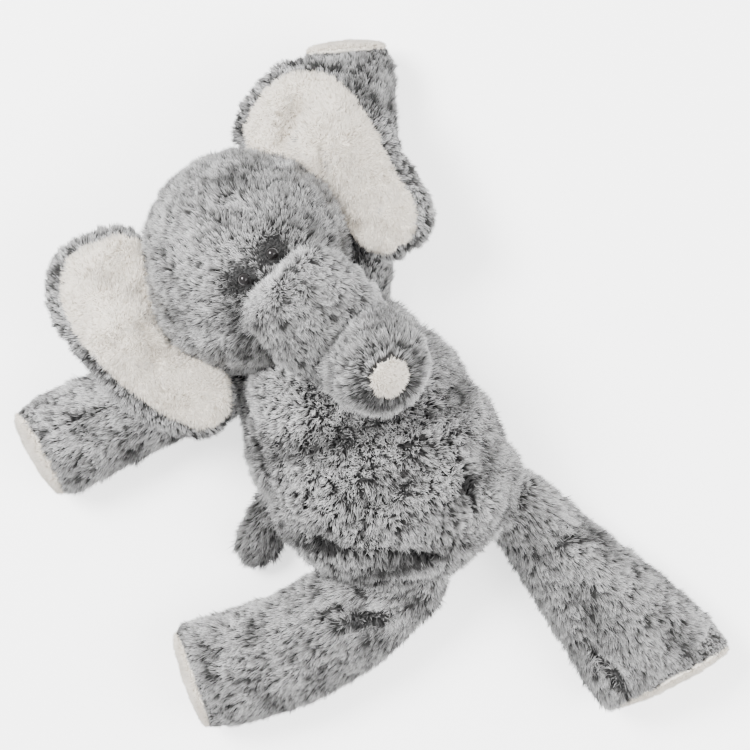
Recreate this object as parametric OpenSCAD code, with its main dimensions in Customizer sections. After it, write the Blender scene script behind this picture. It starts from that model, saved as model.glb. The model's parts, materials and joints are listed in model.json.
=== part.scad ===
// Floppy stuffed elephant, lying on its back with its face and belly up.
// +Z is up, +Y points to the head, +X is the toy's own left side, millimetres.
// The origin is on the flat of its back, under the middle of the belly.

/* [Torso] */
// Length of the torso from crotch to neck
torso_len = 134; // [130:1:136]
// Greatest width of the torso
torso_w = 113; // [110:1:116]
// Height of the belly above the table
torso_h = 84; // [78:1:86]

/* [Head] */
// Width of the head across the cheeks
head_w = 96; // [92:1:97]
// Depth of the head from the back of the skull to the face
head_d = 90; // [84:1:92]
// How far the head leans toward the toy's right shoulder, in degrees
head_lean = 8; // [0:1:10]
// Diameter of an eye
eye_d = 6.2; // [5:0.1:8]
// Distance between the eyes, centre to centre
eye_gap = 15.8; // [15:0.2:20]

/* [Trunk] */
// Width of the trunk at its root
trunk_root_w = 52; // [48:1:56]
// Width of the trunk at its end
trunk_end_w = 39; // [36:1:42]
// Diameter of the cream disc in the tip
tip_disc_d = 21; // [18:0.5:24]
// How steeply the end of the trunk curls up, in degrees
trunk_curl = 55; // [40:1:58]

/* [Ears] */
// Thickness of the grey back of an ear
ear_back_t = 4; // [3:0.5:5]
// Thickness of the cream lining of an ear
ear_lining_t = 3; // [2:0.5:4]
// Width of the grey border round the lining
ear_border = 6; // [4:0.5:8]

/* [Arms and legs] */
// Length of the shorter arm from its swing axis to the pad
arm_len = 80; // [76:1:84]
// Width of an arm at the pad
arm_w = 50; // [46:1:54]
// Length of the shorter leg from its swing axis to the pad
leg_len = 77; // [74:1:80]
// Width of a leg at the pad
leg_w = 54; // [50:1:56]
// Height of an arm or a leg at the pad
limb_h = 43; // [38:1:44]
// Radius of the gathered root of an arm or a leg
limb_root_r = 19; // [17:0.5:19.5]
// Thickness of an end pad
pad_t = 4; // [3:0.5:5]

/* [Tail] */
// Length of the tail from its swing axis to the tip
tail_len = 27; // [22:1:30]
// Width of the tail
tail_w = 23; // [18:1:25]

/* [Cloth] */
// Thickness of the plush cloth
cloth = 2; // [1.5:0.1:2.5]

/* [Hidden] */

GREY = "#8d8d90";
CREAM = "#ece7da";
WHITE = "#f7f7f5";
BLACK = "#141414";

// Half the slit left between two panels along a seam, in degrees
seam_slit = 0.35;
// Room between the cloth and the stuffing inside it
stuffing_room = 0.8;
// Height of the limbs' undersides above the table
limb_lift = 0.2;
// How square the cross-sections are: 1 is an ellipse, less is squarer
squareness = 0.88;
// Sides of the round hardware
round_n = 48;

// ---- smooth sections and the solids lofted through them ----

function spow(v, e) = sign(v) * pow(abs(v), e);
// One point of a cubic curve that passes through b and c
function between(a, b, c, d, t) =
    b + 0.5 * t * (c - a + t * (2 * a - 5 * b + 4 * c - d + t * (3 * (b - c) + d - a)));
// The row of a table at place t, which may lie between two rows
function row_at(rows, t) =
    let (last = len(rows) - 1, i = min(floor(t), last - 1))
    between(rows[max(i - 1, 0)], rows[i], rows[i + 1], rows[min(i + 2, last)], t - i);
// The same table with steps rows for each one
function refined(rows, steps) =
    [for (k = [0 : (len(rows) - 1) * steps]) row_at(rows, k / steps)];

// A station is [centre, side direction, up direction, half width, height above the
// centre, depth below it, lowest z]. These read its parts.
function at(st, across, up, less) =
    let (p = st[0] + across * st[1] + up * st[2])
    [p.x, p.y, max(p.z, st[6] + less)];
// A point of the cross-section, at angle a, pulled in by less
function section_point(st, a, less) =
    let (
        c = spow(cos(a), squareness),
        s = spow(sin(a), squareness),
        w = max(st[3] - less, 0.3),
        h = max((s > 0 ? st[4] : st[5]) - less, 0.3)
    )
    at(st, w * c, h * s, less);
function section_arc(st, a0, a1, n, less) =
    [for (i = [0 : n]) section_point(st, a0 + (a1 - a0) * i / n, less)];

// A solid through closed rings that all have the same, even number of points. Its ends are
// closed by a strip of triangles laid from one side of the ring to the other.
module loft(rings) {
    n = len(rings[0]);
    last = len(rings) - 1;
    points = [for (r = rings) for (p = r) p];
    walls = [
        for (k = [0 : last - 1]) for (i = [0 : n - 1])
            let (j = (i + 1) % n, a = k * n, b = (k + 1) * n)
            for (f = [[a + i, b + j, a + j], [a + i, b + i, b + j]]) f
    ];
    ends = [
        for (i = [0 : n / 2 - 2])
            let (a = i, b = i + 1, c = n - 2 - i, d = n - 1 - i, e = last * n)
            for (f = [[a, b, c], [a, c, d], [e + c, e + b, e + a], [e + d, e + c, e + a]]) f
    ];
    polyhedron(points, concat(walls, ends), convexity = 6);
}

// A panel of cloth over the stations, between two angles of the cross-section
module panel(stations, a0, a1, n) {
    loft([
        for (st = stations)
            concat(
                section_arc(st, a0 + seam_slit, a1 - seam_slit, n, 0),
                [for (i = [n : -1 : 0])
                    section_point(st, a0 + seam_slit + (a1 - a0 - 2 * seam_slit) * i / n, cloth)]
            )
    ]);
}

// The filling inside a cover that follows the same stations
module filling(stations, n) {
    loft([
        for (st = stations)
            [for (i = [0 : n - 1]) section_point(st, 360 * i / n, cloth + stuffing_room)]
    ]);
}

// ---- torso ----

// From neck to crotch: [y, half width, top, centre x], as parts of the driving sizes
torso_shape = [
    [0.495, 0.20, 0.48, -1],
    [0.465, 0.38, 0.61, -1],
    [0.41, 0.58, 0.74, -2],
    [0.32, 0.79, 0.86, -3],
    [0.20, 0.94, 0.95, -5],
    [0.05, 1.00, 1.00, -6],
    [-0.10, 0.98, 0.99, -5],
    [-0.25, 0.87, 0.92, -3],
    [-0.36, 0.68, 0.79, -1],
    [-0.44, 0.43, 0.62, 0],
    [-0.475, 0.17, 0.46, 0]
];
function torso_station(row) =
    let (top = row[2] * torso_h, mid = 0.48 * top)
    [[row[3], row[0] * torso_len, mid], [1, 0, 0], [0, 0, 1],
     row[1] * torso_w / 2, top - mid, mid + 4, 0];
torso_stations = [for (row = refined(torso_shape, 2)) torso_station(row)];
// Angle of the side seams above the widest line
side_seam = 36;

module belly_panel() {
    color(GREY) panel(torso_stations, side_seam, 180 - side_seam, 12);
}
module back_panel_left() {
    color(GREY) panel(torso_stations, -90, side_seam, 13);
}
module back_panel_right() {
    color(GREY) panel(torso_stations, 180 - side_seam, 270, 13);
}
module torso_stuffing() {
    color(WHITE) filling(torso_stations, 30);
}

// ---- head ----

head_r = head_w / 2;
head_mid = [-2, 114.4, head_d / 2];
head_side = [cos(head_lean), sin(head_lean), 0];
head_along = [-sin(head_lean), cos(head_lean), 0];
// Angles from the crown pole to the neck pole
head_angles = [for (k = [0 : 11]) 152.5 - 11.5 * k];
head_stations = [
    for (a = head_angles)
        [head_mid - head_r * cos(a) * head_along, head_side, [0, 0, 1],
         head_r * sin(a), head_d / 2 * sin(a), head_d / 2 * sin(a), 0.3]
];
// Where the four sections of the head meet
face_seam = 58;
nape_seam = 62;

// How far the eyes lie below the middle of the head, toward the neck
eye_down = 11;
// Height of a dome's rim above the cloth, so that it clears the pile
eye_lift = 2.8;
shank_d = 2.8;
shank_room = 0.35;
washer_d = 10;
washer_t = 1.2;
function eye_across(side) = side * eye_gap / 2;
function eye_seat(side) =
    let (u = eye_across(side) / head_r, v = -eye_down / head_r)
    head_mid + eye_across(side) * head_side - eye_down * head_along
        + [0, 0, head_d / 2 * pow(1 - u * u - v * v, 0.5)];
// Puts its children on the face at one eye, with +Z square to the face
module on_eye(side) {
    translate(eye_seat(side))
        rotate([0, 0, head_lean])
            rotate([asin(eye_down / head_r), asin(eye_across(side) / head_r), 0])
                children();
}

module head_face_gusset() {
    color(GREY)
        difference() {
            panel(head_stations, face_seam, 180 - face_seam, 6);
            for (side = [-1, 1])
                on_eye(side)
                    cylinder(d = shank_d + 2 * shank_room, h = 14, center = true, $fn = round_n);
        }
}
module head_left_panel() {
    color(GREY) panel(head_stations, -nape_seam, face_seam, 10);
}
module head_right_panel() {
    color(GREY) panel(head_stations, 180 - face_seam, 180 + nape_seam, 10);
}
module head_back_gusset() {
    color(GREY) panel(head_stations, 180 + nape_seam, 360 - nape_seam, 5);
}
module head_stuffing() {
    color(WHITE)
        difference() {
            filling(head_stations, 26);
            for (side = [-1, 1])
                on_eye(side)
                    translate([0, 0, -9])
                        cylinder(d = washer_d + 1.6, h = 12, $fn = round_n);
        }
}
// A domed eye with its shank, standing on the cloth
module eye(side) {
    color(BLACK)
        on_eye(side)
            translate([0, 0, eye_lift]) {
                intersection() {
                    translate([0, 0, -0.6]) sphere(d = eye_d, $fn = round_n);
                    cylinder(d = eye_d + 1, h = eye_d, $fn = round_n);
                }
                translate([0, 0, -eye_lift - 6.2])
                    cylinder(d = shank_d, h = eye_lift + 6.3, $fn = round_n);
            }
}
// The locking washer pushed on to a shank behind the cloth
module eye_washer(side) {
    color(WHITE)
        on_eye(side)
            translate([0, 0, -5.2])
                difference() {
                    cylinder(d = washer_d, h = washer_t, $fn = round_n);
                    translate([0, 0, -1])
                        cylinder(d = shank_d + 0.02, h = washer_t + 2, $fn = round_n);
                }
}
module left_eye() { eye(1); }
module right_eye() { eye(-1); }
module left_eye_washer() { eye_washer(1); }
module right_eye_washer() { eye_washer(-1); }

// ---- trunk ----

// The axis that the whole trunk lifts about, and the one that its end curls about
trunk_hinge = [6, 84, 95.5];
curl_hinge = [14.5, 49, 91.5];
trunk_flat = curl_hinge - trunk_hinge;
trunk_span = norm(trunk_flat);
trunk_dir = trunk_flat / trunk_span;
trunk_turn = atan2(trunk_dir.x, -trunk_dir.y);
trunk_side = [cos(trunk_turn), sin(trunk_turn), 0];
trunk_up = cross(trunk_side, -trunk_dir);
curl_dir = cos(trunk_curl) * [sin(trunk_turn), -cos(trunk_turn), 0] + [0, 0, sin(trunk_curl)];
curl_up = cross(trunk_side, -curl_dir);
trunk_root_r = 13;
curl_root_r = 10;
trunk_end_len = 33;

function trunk_station(p, dir, up, row) =
    [p + row[0] * dir, trunk_side, up, row[1], row[2], row[2], 0];
// [distance from the hinge, half width, half height]
trunk_root_rows = [
    for (a = [28, 48, 68, 90])
        [-trunk_root_r * cos(a), trunk_root_w / 2 * pow(sin(a), 0.6) - 2, trunk_root_r * sin(a)]
];
trunk_base_rows = concat(trunk_root_rows, [
    [6, trunk_root_w / 2 - 0.5, 16.5],
    [12, trunk_root_w / 2, 19],
    [trunk_span - curl_root_r - 1.2, trunk_root_w / 2 - 2, 20]
]);
trunk_base = [for (row = trunk_base_rows) trunk_station(trunk_hinge, trunk_dir, trunk_up, row)];

curl_root_rows = [
    for (a = [30, 50, 70, 90])
        [-curl_root_r * cos(a), (trunk_end_w / 2 + 1) * pow(sin(a), 0.6), curl_root_r * sin(a)]
];
curl_rows = concat(curl_root_rows, [
    [6, trunk_end_w / 2 + 1.5, 15],
    [13, trunk_end_w / 2 + 0.5, 18.5],
    [trunk_end_len - 10, trunk_end_w / 2, 20],
    [trunk_end_len - 4, trunk_end_w / 2 - 2, 18.5],
    [trunk_end_len - 1, trunk_end_w / 2 - 5.5, 15.2],
    [trunk_end_len, tip_disc_d / 2 + 0.5, tip_disc_d / 2 + 0.5]
]);
trunk_curled = [for (row = curl_rows) trunk_station(curl_hinge, curl_dir, curl_up, row)];

module trunk_root_top() { color(GREY) panel(trunk_base, 0, 180, 11); }
module trunk_root_under() { color(GREY) panel(trunk_base, 180, 360, 11); }
module trunk_root_stuffing() { color(WHITE) filling(trunk_base, 20); }
module trunk_end_top() { color(GREY) panel(trunk_curled, 0, 180, 11); }
module trunk_end_under() { color(GREY) panel(trunk_curled, 180, 360, 11); }
module trunk_end_stuffing() { color(WHITE) filling(trunk_curled, 20); }
module trunk_tip_disc() {
    disc_rows = [
        [trunk_end_len + 0.3, tip_disc_d / 2, tip_disc_d / 2],
        [trunk_end_len + 1.5, tip_disc_d / 2 - 0.2, tip_disc_d / 2 - 0.2],
        [trunk_end_len + 2.5, tip_disc_d / 2 - 2.5, tip_disc_d / 2 - 2.5]
    ];
    disc = [for (row = disc_rows) trunk_station(curl_hinge, curl_dir, curl_up, row)];
    color(CREAM)
        loft([for (st = disc) [for (i = [0 : 23]) section_point(st, 15 * i, 0)]]);
}

// ---- ears ----

// Outlines as [away from the head, along the hinge], smoothed by a curve
left_ear_shape = [
    [1, 34], [4, 45], [16, 49], [28, 44], [38, 32], [42, 18], [38, 0], [32, -18],
    [28, -34], [20, -48], [10, -53], [3, -47], [1, -36]
];
right_ear_shape = [
    [1, 34], [6, 44], [17, 46], [29, 40], [38, 29], [40, 13], [36, -6], [32, -24],
    [26, -41], [17, -53], [8, -59], [2, -53], [1, -40]
];
// [outline, place on the hinge, side, turn of the hinge, droop], in mm and degrees
left_ear = [left_ear_shape, [48.5, 124, 54], 1, 12, 4];
right_ear = [right_ear_shape, [-53.5, 116, 54], -1, -5, 4];

// Puts its children, drawn with +X away from the head, on the hinge of an ear
module on_ear(ear) {
    translate(ear[1])
        rotate([0, 0, ear[3]])
            mirror([ear[2] < 0 ? 1 : 0, 0, 0])
                rotate([0, ear[4], 0])
                    children();
}
module ear_outline(shape) {
    polygon([for (row = refined(shape, 3)) row]);
}
module ear_back(ear) {
    color(GREY)
        on_ear(ear)
            translate([0, 0, -ear_back_t])
                linear_extrude(ear_back_t) ear_outline(ear[0]);
}
module ear_lining(ear) {
    color(CREAM)
        on_ear(ear)
            translate([0, 0, 0.15])
                linear_extrude(ear_lining_t)
                    offset(delta = -ear_border) ear_outline(ear[0]);
}
module left_ear_back() { ear_back(left_ear); }
module left_ear_lining() { ear_lining(left_ear); }
module right_ear_back() { ear_back(right_ear); }
module right_ear_lining() { ear_lining(right_ear); }

// ---- arms and legs ----

// A limb is [place of the swing axis, direction in degrees, length, width at the pad]
left_arm = [[51.5, 69], 68.5, arm_len + 21, arm_w];
right_arm = [[-53, 70], 166, arm_len + 1, arm_w];
left_leg = [[38, -80], 280, leg_len + 1, leg_w + 8];
right_leg = [[-56.5, -58], 167.5, leg_len + 2, leg_w];
// Height of a limb at its root
root_h = 33;

function limb_station(limb, s, w, h) =
    let (d = [cos(limb[1]), sin(limb[1]), 0])
    [[limb[0].x, limb[0].y, h + limb_lift] + s * d, [-d.y, d.x, 0], [0, 0, 1], w, h, h, limb_lift];
function limb_stations(limb) = concat(
    [for (a = [24, 42, 60, 76])
        limb_station(limb, -limb_root_r * cos(a), limb_root_r * sin(a),
                     root_h / 2 * pow(sin(a), 0.7))],
    [for (k = [0 : 6])
        let (t = k / 6, swell = t * t * (3 - 2 * t))
        limb_station(limb, limb[2] * t,
                     limb_root_r + (limb[3] / 2 - limb_root_r) * swell,
                     (root_h + (limb_h - root_h) * swell) / 2)]
);

module limb_upper(limb) { color(GREY) panel(limb_stations(limb), 0, 180, 11); }
module limb_under(limb) { color(GREY) panel(limb_stations(limb), 180, 360, 11); }
module limb_stuffing(limb) { color(WHITE) filling(limb_stations(limb), 20); }
// The pad sewn over the open end of a limb, with a rounded rim
module limb_pad(limb) {
    gap = 0.3;
    rim = 2;
    pad = [
        for (row = [[gap, 0], [pad_t - rim, 0], [pad_t - rim / 3, rim / 2], [pad_t, rim]])
            limb_station(limb, limb[2] + row[0], limb[3] / 2 - row[1], limb_h / 2 - row[1])
    ];
    color(CREAM)
        loft([for (st = pad) [for (i = [0 : 27]) section_point(st, 360 / 28 * i, 0)]]);
}
module left_arm_upper() { limb_upper(left_arm); }
module left_arm_under() { limb_under(left_arm); }
module left_arm_stuffing() { limb_stuffing(left_arm); }
module left_arm_pad() { limb_pad(left_arm); }
module right_arm_upper() { limb_upper(right_arm); }
module right_arm_under() { limb_under(right_arm); }
module right_arm_stuffing() { limb_stuffing(right_arm); }
module right_arm_pad() { limb_pad(right_arm); }
module left_leg_upper() { limb_upper(left_leg); }
module left_leg_under() { limb_under(left_leg); }
module left_leg_stuffing() { limb_stuffing(left_leg); }
module left_leg_pad() { limb_pad(left_leg); }
module right_leg_upper() { limb_upper(right_leg); }
module right_leg_under() { limb_under(right_leg); }
module right_leg_stuffing() { limb_stuffing(right_leg); }
module right_leg_pad() { limb_pad(right_leg); }

// ---- tail ----

tail_hinge = [-65, 8];
tail_dir = 211;
tail_h = 15;
tail_root_r = 8;
tail_limb = [tail_hinge, tail_dir, tail_len, tail_w];
tail_rows = concat(
    [for (a = [28, 50, 72, 90])
        [-tail_root_r * cos(a), tail_root_r * sin(a), tail_h / 2 * pow(sin(a), 0.7)]],
    [[tail_len * 0.3, tail_w / 2 - 1.5, tail_h / 2],
     [tail_len * 0.65, tail_w / 2, tail_h / 2]],
    [for (a = [55, 35, 20])
        [tail_len * (0.65 + 0.35 * cos(a)), tail_w / 2 * sin(a), tail_h / 2 * pow(sin(a), 0.5)]]
);
tail_stations = [for (row = tail_rows) limb_station(tail_limb, row[0], row[1], row[2])];

module tail_upper() { color(GREY) panel(tail_stations, 0, 180, 8); }
module tail_under() { color(GREY) panel(tail_stations, 180, 360, 8); }
module tail_stuffing() { color(WHITE) filling(tail_stations, 16); }

belly_panel();
back_panel_left();
back_panel_right();
torso_stuffing();
head_face_gusset();
head_left_panel();
head_right_panel();
head_back_gusset();
head_stuffing();
left_eye();
right_eye();
left_eye_washer();
right_eye_washer();
trunk_root_top();
trunk_root_under();
trunk_root_stuffing();
trunk_end_top();
trunk_end_under();
trunk_end_stuffing();
trunk_tip_disc();
left_ear_back();
left_ear_lining();
right_ear_back();
right_ear_lining();
left_arm_upper();
left_arm_under();
left_arm_stuffing();
left_arm_pad();
right_arm_upper();
right_arm_under();
right_arm_stuffing();
right_arm_pad();
left_leg_upper();
left_leg_under();
left_leg_stuffing();
left_leg_pad();
right_leg_upper();
right_leg_under();
right_leg_stuffing();
right_leg_pad();
tail_upper();
tail_under();
tail_stuffing();
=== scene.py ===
# %% [markdown]
# # A stuffed elephant
# A floppy plush toy lies on its back. Every soft part is made twice over: first a padded skin,
# which gives the part its stuffed form, then the fur that stands on it. The fur is real mesh:
# thousands of thin spikes, dark at the root and silver at the tip. A flat texture can't give
# the fuzzy outline or the dark partings that make plush look like plush.

import json
import math

import bpy
import numpy as np
from mathutils import Matrix, Vector
from mathutils.kdtree import KDTree


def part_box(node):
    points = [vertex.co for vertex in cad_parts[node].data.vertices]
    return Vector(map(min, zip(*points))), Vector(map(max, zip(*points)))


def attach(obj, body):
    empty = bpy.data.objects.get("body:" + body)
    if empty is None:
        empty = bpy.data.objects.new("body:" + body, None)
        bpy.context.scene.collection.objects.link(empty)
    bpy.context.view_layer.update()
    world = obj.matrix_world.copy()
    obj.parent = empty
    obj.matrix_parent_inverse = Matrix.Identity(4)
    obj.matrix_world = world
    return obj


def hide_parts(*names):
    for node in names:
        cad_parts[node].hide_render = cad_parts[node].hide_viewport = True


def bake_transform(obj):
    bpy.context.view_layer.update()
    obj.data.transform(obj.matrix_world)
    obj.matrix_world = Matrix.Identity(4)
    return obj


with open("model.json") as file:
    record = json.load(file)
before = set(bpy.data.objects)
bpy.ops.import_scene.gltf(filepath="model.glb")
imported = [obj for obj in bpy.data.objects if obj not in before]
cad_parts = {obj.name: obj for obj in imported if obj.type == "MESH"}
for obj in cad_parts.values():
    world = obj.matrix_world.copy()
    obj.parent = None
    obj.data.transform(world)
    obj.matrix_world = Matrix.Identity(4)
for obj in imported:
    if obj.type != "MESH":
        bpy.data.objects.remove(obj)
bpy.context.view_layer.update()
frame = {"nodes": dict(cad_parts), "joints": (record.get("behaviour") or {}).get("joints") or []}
MM = 0.001
joints = {j["name"]: j for j in frame["joints"]}
bpy.ops.object.select_all(action="DESELECT")


def mm(x, y, z):
    """A place given in millimetres, as metres."""
    return Vector((x, y, z)) * MM


def middle(node):
    """The middle of a CAD node's box."""
    low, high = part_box(node)
    return (Vector(low) + Vector(high)) / 2


def pivot(joint):
    """Where a joint turns."""
    return Vector(joints[joint]["pos_m"])


# %% [markdown]
# ## Camera, floor and light
# The toy is seen from straight above, with its head to the upper left. A long lens keeps the
# perspective mild. A big soft lamp overhead and a pale world around it give studio light.

# %% Camera, floor and lights
CAMERA_TURN = math.radians(-34.8)
CAMERA_AIM = mm(14.5, 35, 45)
CAMERA_HEIGHT = 0.955
camera = bpy.data.cameras.new("camera")
camera.lens = 100
camera_object = bpy.data.objects.new("camera", camera)
camera_object.location = CAMERA_AIM + Vector((0, 0, CAMERA_HEIGHT))
camera_object.rotation_euler = (0, 0, CAMERA_TURN)
bpy.context.scene.collection.objects.link(camera_object)
bpy.context.scene.camera = camera_object


def lamp(name, place, aim, power, size):
    """A square soft lamp that shines at a point."""
    data = bpy.data.lights.new(name, "AREA")
    data.energy = power
    data.size = size
    lamp_object = bpy.data.objects.new(name, data)
    lamp_object.location = place
    lamp_object.rotation_euler = (Vector(aim) - Vector(place)).to_track_quat("-Z", "Y").to_euler()
    bpy.context.scene.collection.objects.link(lamp_object)


lamp("key_lamp", (-0.35, 0.75, 1.15), (0, 0, 0.03), 46, 0.5)
lamp("fill_lamp", (0.6, -0.6, 1.0), (0, 0, 0.03), 25, 0.9)
world = bpy.data.worlds.new("studio")
world.use_nodes = True
world.node_tree.nodes["Background"].inputs["Color"].default_value = (1, 1, 1, 1)
world.node_tree.nodes["Background"].inputs["Strength"].default_value = 1.6
bpy.context.scene.world = world

bpy.ops.mesh.primitive_plane_add(size=6, location=(0, 0, -0.0005))
floor = bpy.context.object
floor.name = "floor"
print("camera", CAMERA_HEIGHT, "m above the toy")


# %% [markdown]
# ## Colours
# Grey plush is frosted: the hair is charcoal at the root and silver at the tip. Each strand of
# fur carries its own two coordinates, how dark a strand it is and how far up the strand a point
# lies, and a small colour chart turns the two into a colour. Cream plush works the same way.

# %% Materials
def new_material(name, roughness):
    """A material with its shader node, ready to be wired."""
    material = bpy.data.materials.new(name)
    material.use_nodes = True
    shader = material.node_tree.nodes["Principled BSDF"]
    shader.inputs["Roughness"].default_value = roughness
    return material, material.node_tree, shader


def ramp_of(tree, stops):
    """A colour ramp with the stops given as (place, colour)."""
    ramp = tree.nodes.new("ShaderNodeValToRGB")
    ramp.color_ramp.elements[0].position = stops[0][0]
    ramp.color_ramp.elements[0].color = (*stops[0][1], 1)
    ramp.color_ramp.elements[1].position = stops[1][0]
    ramp.color_ramp.elements[1].color = (*stops[1][1], 1)
    for place, colour in stops[2:]:
        ramp.color_ramp.elements.new(place).color = (*colour, 1)
    return ramp


def grey(v, warm=0.0):
    """A linear grey, a little warmer or cooler."""
    return (v * (1 + warm), v, v * (1 - warm))


FUR_MAP = "OFBake"


def strand_material(name, light_stops, dark_stops):
    """Colour along a strand, from light strands at one side of the chart to dark at the other."""
    material, tree, shader = new_material(name, 0.62)
    shader.inputs["Specular IOR Level"].default_value = 0.25
    uv = tree.nodes.new("ShaderNodeUVMap")
    uv.uv_map = FUR_MAP
    split = tree.nodes.new("ShaderNodeSeparateXYZ")
    light = ramp_of(tree, light_stops)
    dark = ramp_of(tree, dark_stops)
    mix = tree.nodes.new("ShaderNodeMix")
    mix.data_type = "RGBA"
    tree.links.new(uv.outputs["UV"], split.inputs[0])
    tree.links.new(split.outputs["Y"], light.inputs["Fac"])
    tree.links.new(split.outputs["Y"], dark.inputs["Fac"])
    tree.links.new(split.outputs["X"], mix.inputs["Factor"])
    tree.links.new(light.outputs["Color"], mix.inputs["A"])
    tree.links.new(dark.outputs["Color"], mix.inputs["B"])
    tree.links.new(mix.outputs["Result"], shader.inputs["Base Color"])
    return material


grey_fur = strand_material(
    "frosted_grey_fur",
    [(0.0, grey(0.015)), (0.35, grey(0.04, 0.02)), (0.7, grey(0.38, 0.01)), (1.0, grey(0.98))],
    [(0.0, grey(0.006)), (0.4, grey(0.012)), (0.8, grey(0.03, 0.02)), (1.0, grey(0.1, 0.02))],
)
cream_fur = strand_material(
    "cream_pile",
    [(0.0, (0.62, 0.56, 0.48)), (1.0, (0.9, 0.85, 0.77))],
    [(0.0, (0.36, 0.31, 0.24)), (1.0, (0.62, 0.56, 0.48))],
)


def cloth_material(name, dark, light, scale):
    """The woven ground that the pile stands on, mottled by noise and finely bumped."""
    material, tree, shader = new_material(name, 0.9)
    shader.inputs["Sheen Weight"].default_value = 0.3
    place = tree.nodes.new("ShaderNodeTexCoord")
    noise = tree.nodes.new("ShaderNodeTexNoise")
    noise.inputs["Scale"].default_value = scale
    noise.inputs["Detail"].default_value = 6
    ramp = ramp_of(tree, [(0.35, dark), (0.65, light)])
    bump = tree.nodes.new("ShaderNodeBump")
    bump.inputs["Strength"].default_value = 0.6
    bump.inputs["Distance"].default_value = 0.5 * MM
    tree.links.new(place.outputs["Object"], noise.inputs["Vector"])
    tree.links.new(noise.outputs["Fac"], ramp.inputs["Fac"])
    tree.links.new(noise.outputs["Fac"], bump.inputs["Height"])
    tree.links.new(ramp.outputs["Color"], shader.inputs["Base Color"])
    tree.links.new(bump.outputs["Normal"], shader.inputs["Normal"])
    return material


grey_cloth = cloth_material("grey_plush_ground", grey(0.015), grey(0.05), 900)
cream_cloth = cloth_material("cream_plush_ground", (0.6, 0.55, 0.47), (0.8, 0.76, 0.68), 1100)
floor_material, _, floor_shader = new_material("pale_floor", 0.8)
floor_shader.inputs["Base Color"].default_value = (0.95, 0.95, 0.95, 1)
floor_shader.inputs["Emission Color"].default_value = (1, 1, 1, 1)
floor_shader.inputs["Emission Strength"].default_value = 1.5
floor.data.materials.append(floor_material)
print("materials:", len(bpy.data.materials))


# %% [markdown]
# ## Padded skins
# A stuffed part is a string of soft lumps that have grown together. So each skin starts as a
# row of stretched balls, which are joined, remeshed into one closed surface and smoothed.

# %% Build a skin from lumps
def lump(place, radii, turn=None):
    """One stretched ball. turn is a rotation for a lump that lies along a limb."""
    bpy.ops.mesh.primitive_uv_sphere_add(segments=24, ring_count=14, radius=1)
    ball = bpy.context.object
    ball.data.transform(
        Matrix.Translation(place)
        @ (turn or Matrix.Identity(3)).to_4x4()
        @ Matrix.Diagonal((*radii, 1))
    )
    return ball


def apply_all(piece):
    """Applies every modifier of a piece."""
    bpy.ops.object.select_all(action="DESELECT")
    piece.select_set(True)
    bpy.context.view_layer.objects.active = piece
    for modifier in list(piece.modifiers):
        bpy.ops.object.modifier_apply(modifier=modifier.name)


def grown_together(name, balls, voxel, smooth):
    """Joins the lumps into one closed, smooth skin."""
    bpy.ops.object.select_all(action="DESELECT")
    for ball in balls:
        ball.select_set(True)
    bpy.context.view_layer.objects.active = balls[0]
    if len(balls) > 1:
        bpy.ops.object.join()
    skin = bpy.context.object
    skin.name = name
    skin.data.name = name
    remesh = skin.modifiers.new("one surface", "REMESH")
    remesh.mode = "VOXEL"
    remesh.voxel_size = voxel * MM
    relax = skin.modifiers.new("relax", "SMOOTH")
    relax.factor = 0.5
    relax.iterations = smooth
    apply_all(skin)
    bpy.ops.object.select_all(action="DESELECT")
    return skin


def along(direction, up=Vector((0, 0, 1))):
    """A rotation whose X runs along a direction, with Z as near to up as can be."""
    x = Vector(direction).normalized()
    y = up.cross(x).normalized()
    return Matrix((x, y, x.cross(y))).transposed()


# %% [markdown]
# ## Shaping a skin
# A seam or a fold pulls the cloth in, so points near its line are moved inwards. Between the
# seams the stuffing pushes out. Cloth simulation with pressure does that, with gravity off and
# the movement capped, and only the moved points are kept, not the simulation. The cloth has to
# be set very soft, or the pressure hardly moves a toy as small as this one.

# %% Points, lines and tucks
def points_of(piece):
    """A mesh's points as an array."""
    found = np.empty(len(piece.data.vertices) * 3)
    piece.data.vertices.foreach_get("co", found)
    return found.reshape(-1, 3)


def set_points(piece, points):
    """Puts a mesh's points where an array says."""
    piece.data.vertices.foreach_set("co", np.ascontiguousarray(points, dtype=np.float32).ravel())
    piece.data.update()


def normals_of(piece):
    """The normals at a mesh's points."""
    found = np.empty(len(piece.data.vertices) * 3)
    piece.data.vertex_normals.foreach_get("vector", found)
    return found.reshape(-1, 3)


def distance_to_line(points, line):
    """How far each point is from a line of places, and the nearest place on it."""
    best = np.full(len(points), 1e9)
    near = np.zeros_like(points)
    for a, b in zip(line, line[1:]):
        a, b = np.array(a), np.array(b)
        t = np.clip(((points - a) @ (b - a)) / ((b - a) @ (b - a)), 0, 1)
        q = a + t[:, None] * (b - a)
        d = np.linalg.norm(points - q, axis=1)
        closer = d < best
        best[closer] = d[closer]
        near[closer] = q[closer]
    return best, near


def tuck(piece, line, depth, width):
    """Pulls the skin in along a seam or a fold."""
    points = points_of(piece)
    d, near = distance_to_line(points, line)
    points -= normals_of(piece) * (depth * MM * np.exp(-((d / (width * MM)) ** 2)))[:, None]
    set_points(piece, points)


# %% Puff a skin up
HELD_NEAR_SEAM = 5
CLOTH_MASS = 0.05
CLOTH_STRETCH = 0.8
CLOTH_SHEAR = 0.4
CLOTH_BEND = 0.05


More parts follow.
